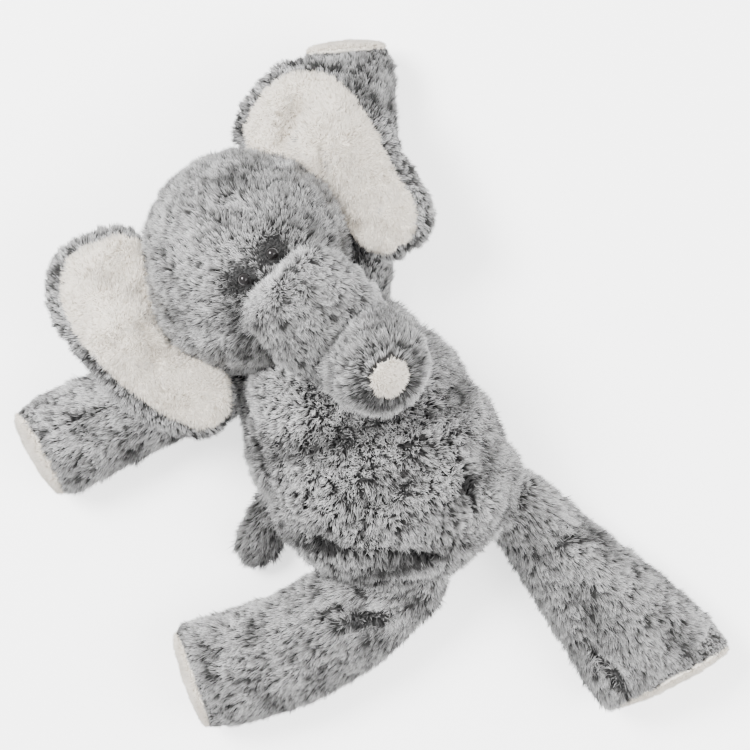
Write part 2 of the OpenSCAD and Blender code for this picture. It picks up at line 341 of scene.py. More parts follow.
def puffed(piece, seams, pressure, frames, most):
    """Pumps a skin up by cloth simulation, held along its seams, so that it swells between
    them. No point may move more than most millimetres."""
    points = points_of(piece)
    held = np.zeros(len(points))
    for line in seams:
        d, near = distance_to_line(points, line)
        held = np.maximum(held, np.exp(-((d / (HELD_NEAR_SEAM * MM)) ** 2)))
    group = piece.vertex_groups.new(name="seams")
    for i in np.nonzero(held > 0.05)[0]:
        group.add([int(i)], float(held[i]), "REPLACE")
    cloth = piece.modifiers.new("stuffing", "CLOTH")
    cloth.settings.quality = 4
    cloth.settings.mass = CLOTH_MASS
    cloth.settings.tension_stiffness = CLOTH_STRETCH
    cloth.settings.compression_stiffness = CLOTH_STRETCH
    cloth.settings.shear_stiffness = CLOTH_SHEAR
    cloth.settings.bending_stiffness = CLOTH_BEND
    cloth.settings.use_pressure = True
    cloth.settings.uniform_pressure_force = pressure
    cloth.settings.vertex_group_mass = "seams"
    cloth.settings.effector_weights.gravity = 0
    cloth.collision_settings.use_collision = False
    cloth.point_cache.frame_end = frames
    for frame_number in range(1, frames + 1):
        bpy.context.scene.frame_set(frame_number)
    blown = piece.evaluated_get(bpy.context.evaluated_depsgraph_get()).to_mesh()
    after = np.empty(len(points) * 3)
    blown.vertices.foreach_get("co", after)
    move = after.reshape(-1, 3) - points
    far = np.linalg.norm(move, axis=1, keepdims=True)
    move = move * np.minimum(1, most * MM / np.maximum(far, 1e-9))
    piece.modifiers.remove(cloth)
    piece.vertex_groups.remove(group)
    bpy.context.scene.frame_set(1)
    set_points(piece, points + move)
    print(f"{piece.name}: swells by up to {far.max() * 1000:.1f} mm, of which {most} mm is kept")


def rest_on_table(piece, height=0.0):
    """Flattens what would sink into the table."""
    points = points_of(piece)
    points[:, 2] = np.maximum(points[:, 2], height * MM)
    set_points(piece, points)


# %% [markdown]
# ## Fur
# A strand is a thin three-sided spike. Strands are scattered evenly over a skin, combed, and
# drawn together into tufts, as plush clumps when it is handled. Along a seam the fur parts, so
# its dark roots show there.

# %% Scatter strands
STRANDS_PER_PIECE = 48000
UNDERSIDE_SHARE = 0.3
total_strands = 0


def scatter(skin, density, rng):
    """Places and normals of strands. density(places, normals) is in strands per mm2."""
    mesh = skin.data
    mesh.calc_loop_triangles()
    corners = np.empty(len(mesh.loop_triangles) * 3, np.int32)
    mesh.loop_triangles.foreach_get("vertices", corners)
    corners = corners.reshape(-1, 3)
    points, normals = points_of(skin), normals_of(skin)
    a, b, c = (points[corners[:, k]] for k in range(3))
    across = np.cross(b - a, c - a)
    area = np.linalg.norm(across, axis=1) / 2
    facing = across / np.maximum(2 * area, 1e-12)[:, None]
    wanted = area * 1e6 * density((a + b + c) / 3, facing)
    count = int(wanted.sum())
    pick = rng.choice(len(area), count, p=wanted / wanted.sum())
    u, v = rng.random((2, count, 1))
    flip = u + v > 1
    u, v = np.where(flip, 1 - u, u), np.where(flip, 1 - v, v)
    n = [normals[corners[pick, k]] for k in range(3)]
    normal = n[0] + u * (n[1] - n[0]) + v * (n[2] - n[0])
    normal /= np.maximum(np.linalg.norm(normal, axis=1), 1e-9)[:, None]
    return a[pick] + u * (b[pick] - a[pick]) + v * (c[pick] - a[pick]), normal


# %% [markdown]
# ## Combing and tufting
# Real fur lies one way, turns aside at a parting, wavers a little, and clings to its
# neighbours. Each of those is one small step here.

# %% Comb and gather
PARTING_PULL = 1.6


def unit(vectors):
    """Each row at length one."""
    return vectors / np.maximum(np.linalg.norm(vectors, axis=-1, keepdims=True), 1e-9)


def waves(points, size, rng, count=5):
    """A smooth random field, about -1 to 1, whose features are size millimetres across."""
    total = np.zeros(len(points))
    for _ in range(count):
        k = unit(rng.normal(size=3)) * 2 * np.pi / (size * MM) * rng.uniform(0.7, 1.4)
        total += np.sin(points @ k + rng.uniform(0, 2 * np.pi))
    return total / count**0.5 * 0.8


def combed(root, normal, comb, partings):
    """Which way the fur lies at each root, turned aside at partings, and how near one is."""
    flow = np.asarray(comb(root, normal), float)
    flow = flow - (flow * normal).sum(1)[:, None] * normal
    part_near = np.zeros(len(root))
    for line, reach in partings:
        d, near = distance_to_line(root, line)
        pull = np.exp(-((d / (reach * MM)) ** 2))
        away = root - near
        away = unit(away - (away * normal).sum(1)[:, None] * normal)
        flow = flow * (1 - pull)[:, None] + away * (PARTING_PULL * pull)[:, None]
        part_near = np.maximum(part_near, pull)
    return flow, part_near


def gathered(root, size, density, rng):
    """Shares strands out to tufts: the strand that leads each tuft, and each strand's tuft."""
    share = 1
    tufts = max(len(root) // max(int(size * density * share), 2), 1)
    leaders = rng.choice(len(root), tufts, replace=False)
    tree = KDTree(tufts)
    for i, leader in enumerate(leaders):
        tree.insert(root[leader], i)
    tree.balance()
    home = np.array([tree.find(p)[1] for p in root])
    return leaders, home


# %% [markdown]
# ## Spikes
# A strand of four points and four faces is the least closed solid there is, so half a million
# of them are still light enough. Its place in the colour chart is written on its corners.

# %% Spikes
SPIKE_FACES = ((0, 1, 3), (1, 2, 3), (2, 0, 3), (0, 2, 1))
TIP = 3


def spikes(name, foot, tip, side, other, wide, dark, material):
    """One mesh of three-sided spikes from each foot to its tip."""
    n = len(foot)
    verts = np.empty((n, 4, 3))
    for k, angle in enumerate((90, 210, 330)):
        c, s = math.cos(math.radians(angle)), math.sin(math.radians(angle))
        verts[:, k] = foot + (c * side + s * other) * wide[:, None]
    verts[:, TIP] = tip
    base = (np.arange(n) * 4)[:, None]
    faces = np.concatenate([base + np.array(f) for f in SPIKE_FACES], axis=1).reshape(-1, 3)
    mesh = bpy.data.meshes.new(name)
    mesh.vertices.add(n * 4)
    mesh.vertices.foreach_set("co", verts.astype(np.float32).ravel())
    mesh.loops.add(n * 12)
    mesh.loops.foreach_set("vertex_index", faces.astype(np.int32).ravel())
    mesh.polygons.add(n * 4)
    mesh.polygons.foreach_set("loop_start", np.arange(0, n * 12, 3, dtype=np.int32))
    mesh.update(calc_edges=True)
    mesh.polygons.foreach_set("use_smooth", np.ones(n * 4, bool))
    chart = mesh.uv_layers.new(name=FUR_MAP)
    corner = faces.ravel() % 4
    across = dark[faces.ravel() // 4] + np.array([-0.02, 0.02, 0.0, 0.0])[corner]
    up = np.where(corner == TIP, 0.99, 0.01)
    chart.data.foreach_set("uv", np.stack([across, up], 1).astype(np.float32).ravel())
    mesh.materials.append(material)
    piece = bpy.data.objects.new(name, mesh)
    bpy.context.scene.collection.objects.link(piece)
    return piece


# %% [markdown]
# ## Growing the fur
# Now the steps come together. Every kind of fur on this toy is the same fur with other settings:
# tall and tousled on the belly, short and sleek on the face, a dense low pile on the cream parts.

# %% Grow fur on a skin
def grow_fur(name, skin, comb, seed, density=3.4, length=7.0, lift=0.75, wild=0.35,
             clump=0.5, tuft=4.0, thick=0.34, shade=0.3, mottle=0.25, partings=(),
             material=grey_fur, keep=None, trim=None, low=None, calm=None, darker=None):
    """Fur over a skin, as pieces of at most STRANDS_PER_PIECE strands. comb(places, normals) is
    which way it lies; lift is how far it stands up, wild how unruly it is, clump how strongly
    tufts draw together and tuft their size; shade is how dark the strands are, mottle how much
    that varies. keep drops strands, trim scales their length and low leaves hair off the floor.
    calm, 0 to 1, smooths the fur at a place, and darker adds dark strands there."""
    global total_strands
    rng = np.random.default_rng(seed)

    def wanted(places, facing):
        """How many strands a place gets, with few on the side that lies on the table."""
        share = np.where(facing[:, 2] < -0.35, UNDERSIDE_SHARE, 1.0)
        if keep is not None:
            share = share * keep(places, facing)
        return share * density

    root, normal = scatter(skin, wanted, rng)
    count = len(root)
    flow, part_near = combed(root, normal, comb, partings)
    gust = np.stack([waves(root, 14, rng) for _ in range(3)], 1)
    flow = flow + 0.35 * (gust - (gust * normal).sum(1)[:, None] * normal)
    stray = rng.normal(size=(count, 3))
    still = calm(root)[:, None] if calm is not None else np.zeros((count, 1))
    upright = lift * (1 - 0.5 * still)
    direction = unit(upright * normal + flow * (1 + 0.6 * still) + wild * stray)
    under = (direction * normal).sum(1) < 0.12
    direction[under] = unit(direction[under] + 0.5 * normal[under])
    reach = length * MM * rng.uniform(0.62, 1.12, count) * (1 + 0.16 * waves(root, 9, rng))
    if trim is not None:
        reach = reach * trim(root)
    tip = root + direction * reach[:, None]

    leaders, home = gathered(root, tuft, density, rng)
    pull = clump * rng.uniform(0.5, 1.0, count) * (1 - 0.55 * still[:, 0])
    tip = tip + (tip[leaders][home] - tip) * pull[:, None]
    tuft_shade = rng.exponential(size=len(leaders))[home] - 0.75
    dark = shade + mottle * (0.85 * tuft_shade + 0.9 * waves(root, 22, rng))
    dark = dark + 0.16 * rng.normal(size=count) + 0.25 * part_near
    if darker is not None:
        dark = dark + darker(root)
    dark = np.clip(dark, 0.03, 0.97)
    if low is not None:
        tip[:, 2] = np.maximum(tip[:, 2], low * MM)

    axis = unit(tip - root)
    side = unit(np.cross(axis, normal + 0.3 * stray))
    other = np.cross(axis, side)
    wide = thick * MM * (rng.uniform(0.7, 1.25, count) / 1)
    foot = root - normal * (0.4 * MM)
    parts = math.ceil(count / STRANDS_PER_PIECE)
    ends = np.linspace(0, count, parts + 1).astype(int)
    order = np.argsort(root @ np.array([0.3, 1.0, 0.1])) if parts > 1 else np.arange(count)
    made = []
    for part in range(parts):
        i = order[ends[part]:ends[part + 1]]
        piece_name = f"{name}_{part + 1}" if parts > 1 else name
        made.append(spikes(piece_name, foot[i], tip[i], side[i], other[i], wide[i], dark[i], material))
    total_strands += count
    print(f"{name}: {count} strands in {parts} piece(s), {len(leaders)} tufts")
    return made


# %% [markdown]
# ## Joining pieces to their bodies
# A limb's cloth runs over its joint into the torso, so it is attached to neither body and its place is baked into
# its points. Pieces that ride on one body are parented to it. Skin and fur are handled alike, or the fur would
# leave its skin.

# %% Pieces and their bodies
def belongs(pieces, body):
    """These pieces ride on one body."""
    for piece in pieces:
        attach(piece, body)


def bends(pieces):
    """These pieces run over the joint between two bodies."""
    for piece in pieces:
        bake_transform(piece)


def finish_skin(skin, material):
    """Gives a padded skin its cloth and smooth shading."""
    bpy.ops.object.select_all(action="DESELECT")
    skin.select_set(True)
    bpy.context.view_layer.objects.active = skin
    bpy.ops.object.shade_smooth()
    skin.data.materials.clear()
    skin.data.materials.append(material)
    bpy.ops.object.select_all(action="DESELECT")
    print(f"{skin.name}: {len(skin.data.polygons)} faces")


# %% [markdown]
# ## Torso
# The belly is the fullest part. Its front panel meets the back at a seam down each side, and
# the fur on it stands nearly upright, so it breaks into small tufts.

# %% Torso skin
torso_balls = [
    lump(mm(-6, -4, 40), mm(55.5, 48.5, 41.5)),
    lump(mm(-2, -31, 34), mm(48.5, 26.5, 34)),
    lump(mm(-4, 22, 38), mm(53.5, 41, 39.5)),
    lump(mm(-2, 47, 31), mm(45.5, 26, 31)),
]
torso_skin = grown_together("torso_skin", torso_balls, 3.0, 14)
seam_left = [mm(34, 52, 52), mm(30, 30, 70), mm(25, 8, 78), mm(25, -6, 78), mm(23, -21, 74),
             mm(19, -31, 68), mm(12, -41, 58), mm(6, -54, 44)]
seam_right = [mm(-40, 59, 40), mm(-43, 46, 52), mm(-46, 36, 58), mm(-52, 21, 58), mm(-57, 6, 54),
              mm(-60, -6, 50), mm(-58, -20, 46)]
hip_left = [mm(52, -44, 26), mm(47, -46, 38), mm(35, -48, 48), mm(23, -51, 48), mm(13, -55, 42)]
hip_right = [mm(-64, -9, 38), mm(-59, -22, 44), mm(-55, -31, 46), mm(-46, -39, 48),
             mm(-36, -41, 50), mm(-27, -45, 50), mm(-19, -52, 46)]
belly_fold = [mm(-44, -11, 64), mm(-40, -19, 64), mm(-33, -24, 65), mm(-25, -28, 66),
              mm(-18, -34, 64), mm(-11, -43, 58)]
puffed(torso_skin, [seam_left, seam_right, hip_left, hip_right], 60, 16, 2.5)
tuck(torso_skin, seam_left, 1.6, 4.0)
tuck(torso_skin, seam_right, 2.2, 4.0)
tuck(torso_skin, hip_left, 3.5, 5.0)
tuck(torso_skin, hip_right, 3.5, 5.0)
tuck(torso_skin, belly_fold, 4.5, 5.0)
rest_on_table(torso_skin, 0.2)
finish_skin(torso_skin, grey_cloth)


# %% [markdown]
# ## Fur of the torso
# The belly is tousled and mottled. The panels at its sides are combed flat, and the hollow below the belly and
# the chest under the trunk are in the dark, which is painted into the fur as shade.

# %% Torso fur
def torso_comb(places, normals):
    """Down the belly, and out over the sides."""
    flow = np.zeros_like(places)
    flow[:, 1] = -0.35
    flow[:, 0] = 0.3 * np.clip((places[:, 0] + 6 * MM) / (45 * MM), -1, 1)
    return flow


def side_panels(places):
    """1 on the smooth side panels, 0 on the tousled belly."""
    left = np.clip((places[:, 0] - 26 * MM) / (8 * MM), 0, 1)
    right = np.clip((-53 * MM - places[:, 0]) / (6 * MM), 0, 1)
    return np.maximum(left, right)


def belly_painted_shade(places):
    """Painted shade: the chest under the trunk and the hollow below the belly are darkened, where the trunk and
    the belly fold shade them. The smooth side panels are a little lighter.
    """
    chest = np.exp(-((places[:, 0] / (36 * MM)) ** 2) - ((places[:, 1] - 30 * MM) / (30 * MM)) ** 2)
    d, near = distance_to_line(places, belly_fold)
    below = (places[:, 1] < near[:, 1]) * np.exp(-((d / (11 * MM)) ** 2))
    return 0.1 * chest + 0.3 * below - 0.06 * side_panels(places)


torso_fur = grow_fur(
    "torso_fur", torso_skin, torso_comb, 11, length=6.0, lift=0.9, wild=0.36, clump=0.68, tuft=3.2,
    density=3.2, thick=0.42, shade=0.32, mottle=0.46, calm=side_panels, darker=belly_painted_shade,
    partings=[(seam_left, 3), (seam_right, 3), (hip_left, 4), (hip_right, 4), (belly_fold, 5)],
    low=0.5,
)
belongs([torso_skin, *torso_fur], "torso")
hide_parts("belly_panel", "back_panel_left", "back_panel_right", "torso_stuffing")

# %% [markdown]
# ## Head
# A round head of four sewn sections, with short fur combed back from the face.

# %% Head skin
head_mid = middle("head_stuffing")
head_balls = [
    lump(head_mid + mm(0, 0, 1), mm(45.7, 45.7, 42.7)),
    lump(head_mid + mm(-9, -9, -2), mm(41.5, 39.5, 40)),
]
head_skin = grown_together("head_skin", head_balls, 3.0, 8)
brow_seam = [head_mid + mm(2, 46, 6), head_mid + mm(1, 34, 30), head_mid + mm(0, 16, 42)]
puffed(head_skin, [brow_seam], 60, 14, 1.2)
eyes = [middle("left_eye"), middle("right_eye")]
for eye in eyes:
    tuck(head_skin, [eye, eye + mm(0, 0, -8)], 1.6, 4.0)
rest_on_table(head_skin, 0.5)
finish_skin(head_skin, grey_cloth)

# %% [markdown]
# ## Fur of the head
# Short fur is combed back from the trunk. It is trimmed round the eyes, which would otherwise be lost in it, and
# painted dark there, as shade in the hollows the eyes sit in and under the trunk where it springs from the face.

# %% Head fur
def head_comb(places, normals):
    """Back from the trunk over the crown and the cheeks."""
    flow = places - np.array(head_mid + mm(3, -34, 46))
    flow[:, 2] *= 0.3
    return unit(flow) * 0.75


def near_eyes(places):
    """Shorter fur round the eyes, so that they show."""
    scale = np.ones(len(places))
    for eye in eyes:
        d = np.linalg.norm(places[:, :2] - np.array(eye)[:2], axis=1)
        scale = np.minimum(scale, np.clip((d - 1.0 * MM) / (9 * MM), 0.42, 1))
    return scale


def clear_of_eyes(places, facing):
    """No strand stands on an eye, or close enough to lie across it."""
    share = np.ones(len(places))
    for eye in eyes:
        d = np.linalg.norm(places[:, :2] - np.array(eye)[:2], axis=1)
        share = np.where(d < 3.6 * MM, 0.0, share)
    return share


def painted_shade_round_eyes_and_trunk(places):
    """Painted shade: dark fur in a ring round each eye, in the hollow where it sits, and in a ring round where
    the trunk springs from the face, under the trunk.
    """
    shadow = np.zeros(len(places))
    for eye in eyes:
        d = np.linalg.norm((places - np.array(eye))[:, :2] * (1, 1.2), axis=1)
        shadow = np.maximum(shadow, 1.2 * np.exp(-((d / (6.8 * MM)) ** 4)))
    d = np.linalg.norm((places - np.array(pivot("trunk_lift")))[:, :2], axis=1)
    return shadow + 0.34 * np.exp(-(((d - 27 * MM) / (9 * MM)) ** 2))


head_fur = grow_fur(
    "head_fur", head_skin, head_comb, 12, length=5.4, lift=0.36, wild=0.24, clump=0.5, tuft=3.0,
    density=4.2, thick=0.37, shade=0.13, mottle=0.38, keep=clear_of_eyes, trim=near_eyes,
    darker=painted_shade_round_eyes_and_trunk, low=0.5,
)
belongs([head_skin, *head_fur], "head")
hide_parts("head_face_gusset", "head_left_panel", "head_right_panel",
            "head_back_gusset", "head_stuffing")

# %% [markdown]
# ## Limbs
# Arms and legs are tubes that widen to a flat pad. They are soft and limp where they are
# gathered into the torso, so folds run round them there.

# %% Skin of a limb
ROOM_TO_SWELL = 0.8
LIMB_LUMPS = 12
LIMB_VOXEL = 2.8


def level(run):
    """A direction laid level, at length one."""
    run = run.normalized()
    return Vector((run.x, run.y, 0)).normalized()


def limb_skin(name, start, end, widths, heights, bend, face):
    """The padded skin of a limb from a place inside the torso to its pad, cut off flat there.
    widths and heights are half sizes along it, and bend is how far it bows sideways."""
    flat = level(end - start)
    sideways = Vector((-flat.y, flat.x, 0))
    balls = []
    for k in range(LIMB_LUMPS + 1):
        t = k / LIMB_LUMPS
        spot = start.lerp(end, t) + sideways * (bend * MM * math.sin(math.pi * t))
        w = (np.interp(t, np.linspace(0, 1, len(widths)), widths) - ROOM_TO_SWELL) * MM
        h = (np.interp(t, np.linspace(0, 1, len(heights)), heights) - ROOM_TO_SWELL) * MM
        spot.z = h + 0.3 * MM
        balls.append(lump(spot, (max(w, h) * 0.72, w, h), along(flat)))
    skin = grown_together(f"{name}_skin", balls, LIMB_VOXEL, 8)
    bpy.context.view_layer.objects.active = skin
    skin.select_set(True)
    bpy.ops.object.mode_set(mode="EDIT")
    bpy.ops.mesh.select_all(action="SELECT")
    bpy.ops.mesh.bisect(plane_co=end, plane_no=face, clear_outer=True, use_fill=True)
    bpy.ops.object.mode_set(mode="OBJECT")
    remesh = skin.modifiers.new("even", "REMESH")
    remesh.mode = "VOXEL"
    remesh.voxel_size = LIMB_VOXEL * MM
    relax = skin.modifiers.new("relax", "SMOOTH")
    relax.iterations = 5
    apply_all(skin)
    puffed(skin, [SEAMS[name]], 60, 14, 1.2)
    tuck(skin, SEAMS[name], 1.8, 3.5)
    for line, depth, width in FOLDS[name]:
        tuck(skin, line, depth, width)
    rest_on_table(skin, 0.3)
    finish_skin(skin, grey_cloth)
    return skin


# %% Fur of a limb
def limb_fur(name, skin, start, end, face, seed):
    """Grey fur combed towards the pad, parted at the seam, and with painted shade in the folds."""
    flat = np.array(level(end - start))

    def comb(places, normals):
        """Towards the pad."""
        return np.tile(flat * 0.95, (len(places), 1))

    def off_pad(places, facing):
        """No grey fur on the pad itself."""
        return np.where(facing @ np.array(face) > 0.8, 0.0, 1.0)

    def short_by_pad(places):
        """Shorter fur at the rim, so that the pad shows."""
        reach = np.array(end - start).dot(flat) - (places - np.array(start)) @ flat
        return np.clip(reach / (12 * MM), 0.45, 1)

    def painted_fold_shade(places):
        """Painted shade: the hollows of folds are darkened."""
        shadow = np.zeros(len(places))
        for line, depth, width in FOLDS[name]:
            d, near = distance_to_line(places, line)
            shadow = np.maximum(shadow, 0.3 * np.exp(-((d / (1.6 * width * MM)) ** 2)))
        return shadow

    partings = [(SEAMS[name], 3)] + [(line, width) for line, depth, width in FOLDS[name]]
    return grow_fur(
        f"{name}_fur", skin, comb, seed, length=6.2, lift=0.42, wild=0.25, clump=0.52, tuft=3.4,
        thick=0.38, density=3.8, shade=0.17, mottle=0.42, partings=partings, keep=off_pad,
        trim=short_by_pad, darker=painted_fold_shade, low=0.5,
    )


# %% The pad of a limb
def sole(name, place, face, half_w, half_h, seed):
    """The cream pad sewn over a limb's end, slightly domed, with short pile."""
    turn = along(face)
    dome = lump(place, (3.2 * MM, half_w * MM, half_h * MM), turn)
    pad = grown_together(f"{name}_skin", [dome], 1.6, 2)
    finish_skin(pad, cream_cloth)
    pile = grow_fur(
        f"{name}_pile", pad, lambda p, n: np.tile((0, 0, -0.2), (len(p), 1)), seed, density=5,
        length=2.4, lift=1.0, wild=0.3, clump=0.4, tuft=2, thick=0.3, shade=0.3, mottle=0.12,
        material=cream_fur, keep=lambda p, f: np.where(f @ np.array(face) > 0.1, 1.0, 0.0), low=0.4,
    )
    return pad, pile


# %% [markdown]
# ## Arms and legs
# The tables say where each limb springs from the torso, how thick it is along its length, and
# where its seam and its folds run. The arms are slimmer than the legs, and one leg is flared.

# %% Tables of the limbs
LIMBS = {
    # body: joint, start inside the torso, half widths, half heights, bend, tilt and turn of
    # the pad, and how far it sits along and across the limb from the middle of its CAD pad
    "right_arm": ("right_arm_swing", mm(-34, 68, 19), [14, 17, 20, 22.5, 24, 24.5],
                  [16, 18, 19.5, 20.5, 21, 20.5], -4, 0.28, 10, (3, -4)),
    "left_arm": ("left_arm_swing", mm(30, 66, 19), [11, 14, 18, 20, 21, 21.5],
                 [15, 16.5, 19, 20.5, 21, 20.5], 0, 0.12, 0, (3.5, 0)),
    "right_leg": ("right_leg_swing", mm(-26, -49, 22), [21.5, 25.5, 27, 27.5, 27.5, 26.5],
                  [24, 24, 22, 21.5, 21.5, 21], 8, 0.14, -8, (3, -6.5)),
    "left_leg": ("left_leg_swing", mm(34, -53, 20), [17, 20.5, 24.5, 28.5, 32, 34.5],
                 [20, 19.5, 20, 21, 21.5, 21], 0, 0.05, -15, (0, -4.5)),
}
SEAMS = {
    "right_arm": [mm(-66, 84, 41), mm(-86, 92, 42), mm(-108, 97, 42), mm(-128, 101, 41)],
    "left_arm": [mm(50, 90, 38), mm(62, 118, 41), mm(76, 150, 42)],
    "right_leg": [mm(-58, -46, 44), mm(-72, -41, 44), mm(-85, -36, 43), mm(-105, -30, 42),
                  mm(-127, -25, 41)],
    "left_leg": [mm(16, -62, 38), mm(20, -88, 38), mm(22, -114, 38), mm(27, -150, 36)],
}
FOLDS = {
    "right_arm": [([mm(-58, 46, 30), mm(-62, 60, 38), mm(-58, 76, 36)], 2.5, 4)],
    "left_arm": [],
    "right_leg": [([mm(-44, -60, 46), mm(-52, -54, 45), mm(-64, -50, 44)], 2.0, 4),
                  ([mm(-30, -47, 48), mm(-31, -49, 48)], 5.0, 6)],
    "left_leg": [([mm(42, -78, 36), mm(50, -80, 34), mm(60, -80, 24)], 2.5, 4)],
}

# %% Make the limbs
PAD_HEIGHT = 0.021
for number, (body, row) in enumerate(LIMBS.items()):
    joint, start, widths, heights, bend, tilt, yaw, nudge = row
    hinge = pivot(joint)
    pad_mid = middle(f"{body}_pad")
    run = (pad_mid - hinge).xy.normalized()
    aside = Vector((-run.y, run.x))
    pad_mid += (run * nudge[0] + aside * nudge[1]).to_3d() * MM
    flat = level(pad_mid - start)
    face = (Matrix.Rotation(math.radians(yaw), 3, "Z") @ flat + Vector((0, 0, tilt))).normalized()
    skin = limb_skin(body, start, pad_mid, widths, heights, bend, face)
    fur = limb_fur(body, skin, start, pad_mid, face, 20 + number)
    pad_place = Vector((pad_mid.x, pad_mid.y, PAD_HEIGHT))
    pad, pile = sole(f"{body}_pad", pad_place, face, widths[-1] - 3, heights[-1] - 2.5, 40 + number)
    bends([skin, *fur])
    belongs([pad, *pile], body)
    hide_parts(f"{body}_upper", f"{body}_under", f"{body}_stuffing")
    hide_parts(f"{body}_pad")

# %% [markdown]
# ## Trunk
# The trunk springs from the face, lies on the chest and curls up at its end. A crease parts the
# two sections, and the tip carries a cream disc with the fur combed away from it.

# %% Trunk
trunk_hinge, curl_hinge = pivot("trunk_lift"), pivot("trunk_curl")
tip = middle("trunk_tip_disc")
root_run = (curl_hinge - trunk_hinge).normalized()
end_run = (tip - curl_hinge).normalized()
root_balls = []
for t, w, h in ((-0.1, 22.5, 15), (0.1, 25.5, 18), (0.35, 27, 19.5), (0.6, 26.5, 19.5), (0.85, 23.5, 19)):
    spot = trunk_hinge.lerp(curl_hinge, t)
    root_balls.append(lump(spot, (7 * MM, w * MM, h * MM), along(root_run)))
root_balls.append(lump(trunk_hinge + mm(0, 2, -12), mm(25, 10, 15)))
trunk_root_skin = grown_together("trunk_root_skin", root_balls, 2.6, 6)
finish_skin(trunk_root_skin, grey_cloth)
end_balls = []
for t, w, h in ((-0.05, 21, 17), (0.2, 22, 19.5), (0.45, 22, 20.5), (0.68, 20.5, 20.5)):
    spot = curl_hinge.lerp(tip, t) + mm(1.5, -1.5, 0) * min(1, 3 * max(t, 0))
    end_balls.append(lump(spot, (9 * MM, w * MM, h * MM), along(end_run)))
trunk_end_skin = grown_together("trunk_end_skin", end_balls, 2.6, 5)
finish_skin(trunk_end_skin, grey_cloth)


def trunk_root_comb(places, normals):
    return np.tile(np.array(root_run) * 0.9, (len(places), 1))


def trunk_end_comb(places, normals):
    """Back from the disc over the rim, then along the trunk."""
    away = places - np.array(tip)
    along_end = away @ np.array(end_run)
    out = unit(away - along_end[:, None] * np.array(end_run))
    return 0.95 * out * (along_end > -9 * MM)[:, None] + 0.5 * np.array(-end_run)


def off_disc(places, facing):
    """No grey fur under the disc."""
    d = np.linalg.norm(places - np.array(tip), axis=1)
    return np.where(d < 8.0 * MM, 0.0, 1.0)


def disc_roots_and_painted_crease_shade(places):
    """The roots show dark in a ring round the disc, and the crease between the two sections gets painted shade.
    """
    d = np.linalg.norm(places - np.array(tip), axis=1)
    crease = np.abs((places - np.array(curl_hinge)) @ np.array(root_run)) / (4 * MM)
    return 0.85 * np.exp(-(((d - 11.5 * MM) / (3.4 * MM)) ** 2)) + 0.45 * np.exp(-(crease**2))


trunk_root_fur = grow_fur("trunk_root_fur", trunk_root_skin, trunk_root_comb, 51, length=4.8,
                          density=4.4, thick=0.37, lift=0.34, wild=0.2, clump=0.45, shade=0.02, mottle=0.34,
                          keep=clear_of_eyes, darker=disc_roots_and_painted_crease_shade)
trunk_end_fur = grow_fur("trunk_end_fur", trunk_end_skin, trunk_end_comb, 52, length=5.0,
                         density=4.4, thick=0.37, lift=0.36, wild=0.2, clump=0.4, shade=0.02, mottle=0.22,
                         keep=off_disc, darker=disc_roots_and_painted_crease_shade)
disc_skin = grown_together(
    "trunk_disc_skin", [lump(tip - end_run * (1.2 * MM), (3.0 * MM, 8.2 * MM, 8.2 * MM), along(end_run))], 1.4, 2)
finish_skin(disc_skin, cream_cloth)
disc_pile = grow_fur(
    "trunk_disc_pile", disc_skin, lambda p, n: np.tile((0, 0, 0), (len(p), 1)), 53, density=6.5,
    length=2.6, lift=1.0, wild=0.25, clump=0.3, tuft=2, thick=0.3, shade=0.02, mottle=0.04,
    material=cream_fur, keep=lambda p, f: np.where(f @ np.array(end_run) > 0, 1.0, 0.0),
)
bends([trunk_root_skin, *trunk_root_fur])
bends([trunk_end_skin, *trunk_end_fur])
belongs([disc_skin, *disc_pile], "trunk_end")
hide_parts("trunk_root_top", "trunk_root_under", "trunk_root_stuffing")
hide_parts("trunk_end_top", "trunk_end_under", "trunk_end_stuffing")
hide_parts("trunk_tip_disc")

# %% [markdown]
# ## Ears
# An ear is two layers, grey outside and cream inside, with no stuffing. It is cut to an
# outline, then cupped and draped by moving its points.

# %% Ears
def smooth_outline(corners, count):
    """A smooth closed curve through a few given corners."""
    corners = np.array(corners, float)
    n = len(corners)
    result = []
    for k in range(count):
        t = k * n / count
        i, f = int(t), t - int(t)
        a, b, c, d = (corners[(i + j) % n] for j in (-1, 0, 1, 2))
        result.append(b + 0.5 * f * (c - a + f * (2 * a - 5 * b + 4 * c - d + f * (3 * (b - c) + d - a))))
    return np.array(result)


def plate(name, outline, thick, z, voxel):
    """A flat sheet with rounded edges in its own plane, in millimetres."""
    bpy.ops.mesh.primitive_circle_add(vertices=len(outline), radius=1, fill_type="NGON")
    sheet = bpy.context.object
    points = np.zeros((len(outline), 3))
    points[:, :2] = outline * MM
    points[:, 2] = z * MM
    set_points(sheet, points)
    bpy.ops.object.mode_set(mode="EDIT")
    bpy.ops.mesh.select_all(action="SELECT")
    bpy.ops.mesh.extrude_region_move(TRANSFORM_OT_translate={"value": (0, 0, thick * MM)})
    bpy.ops.mesh.select_all(action="SELECT")
    bpy.ops.mesh.normals_make_consistent(inside=False)
    bpy.ops.object.mode_set(mode="OBJECT")
    return grown_together(name, [sheet], voxel, 3)


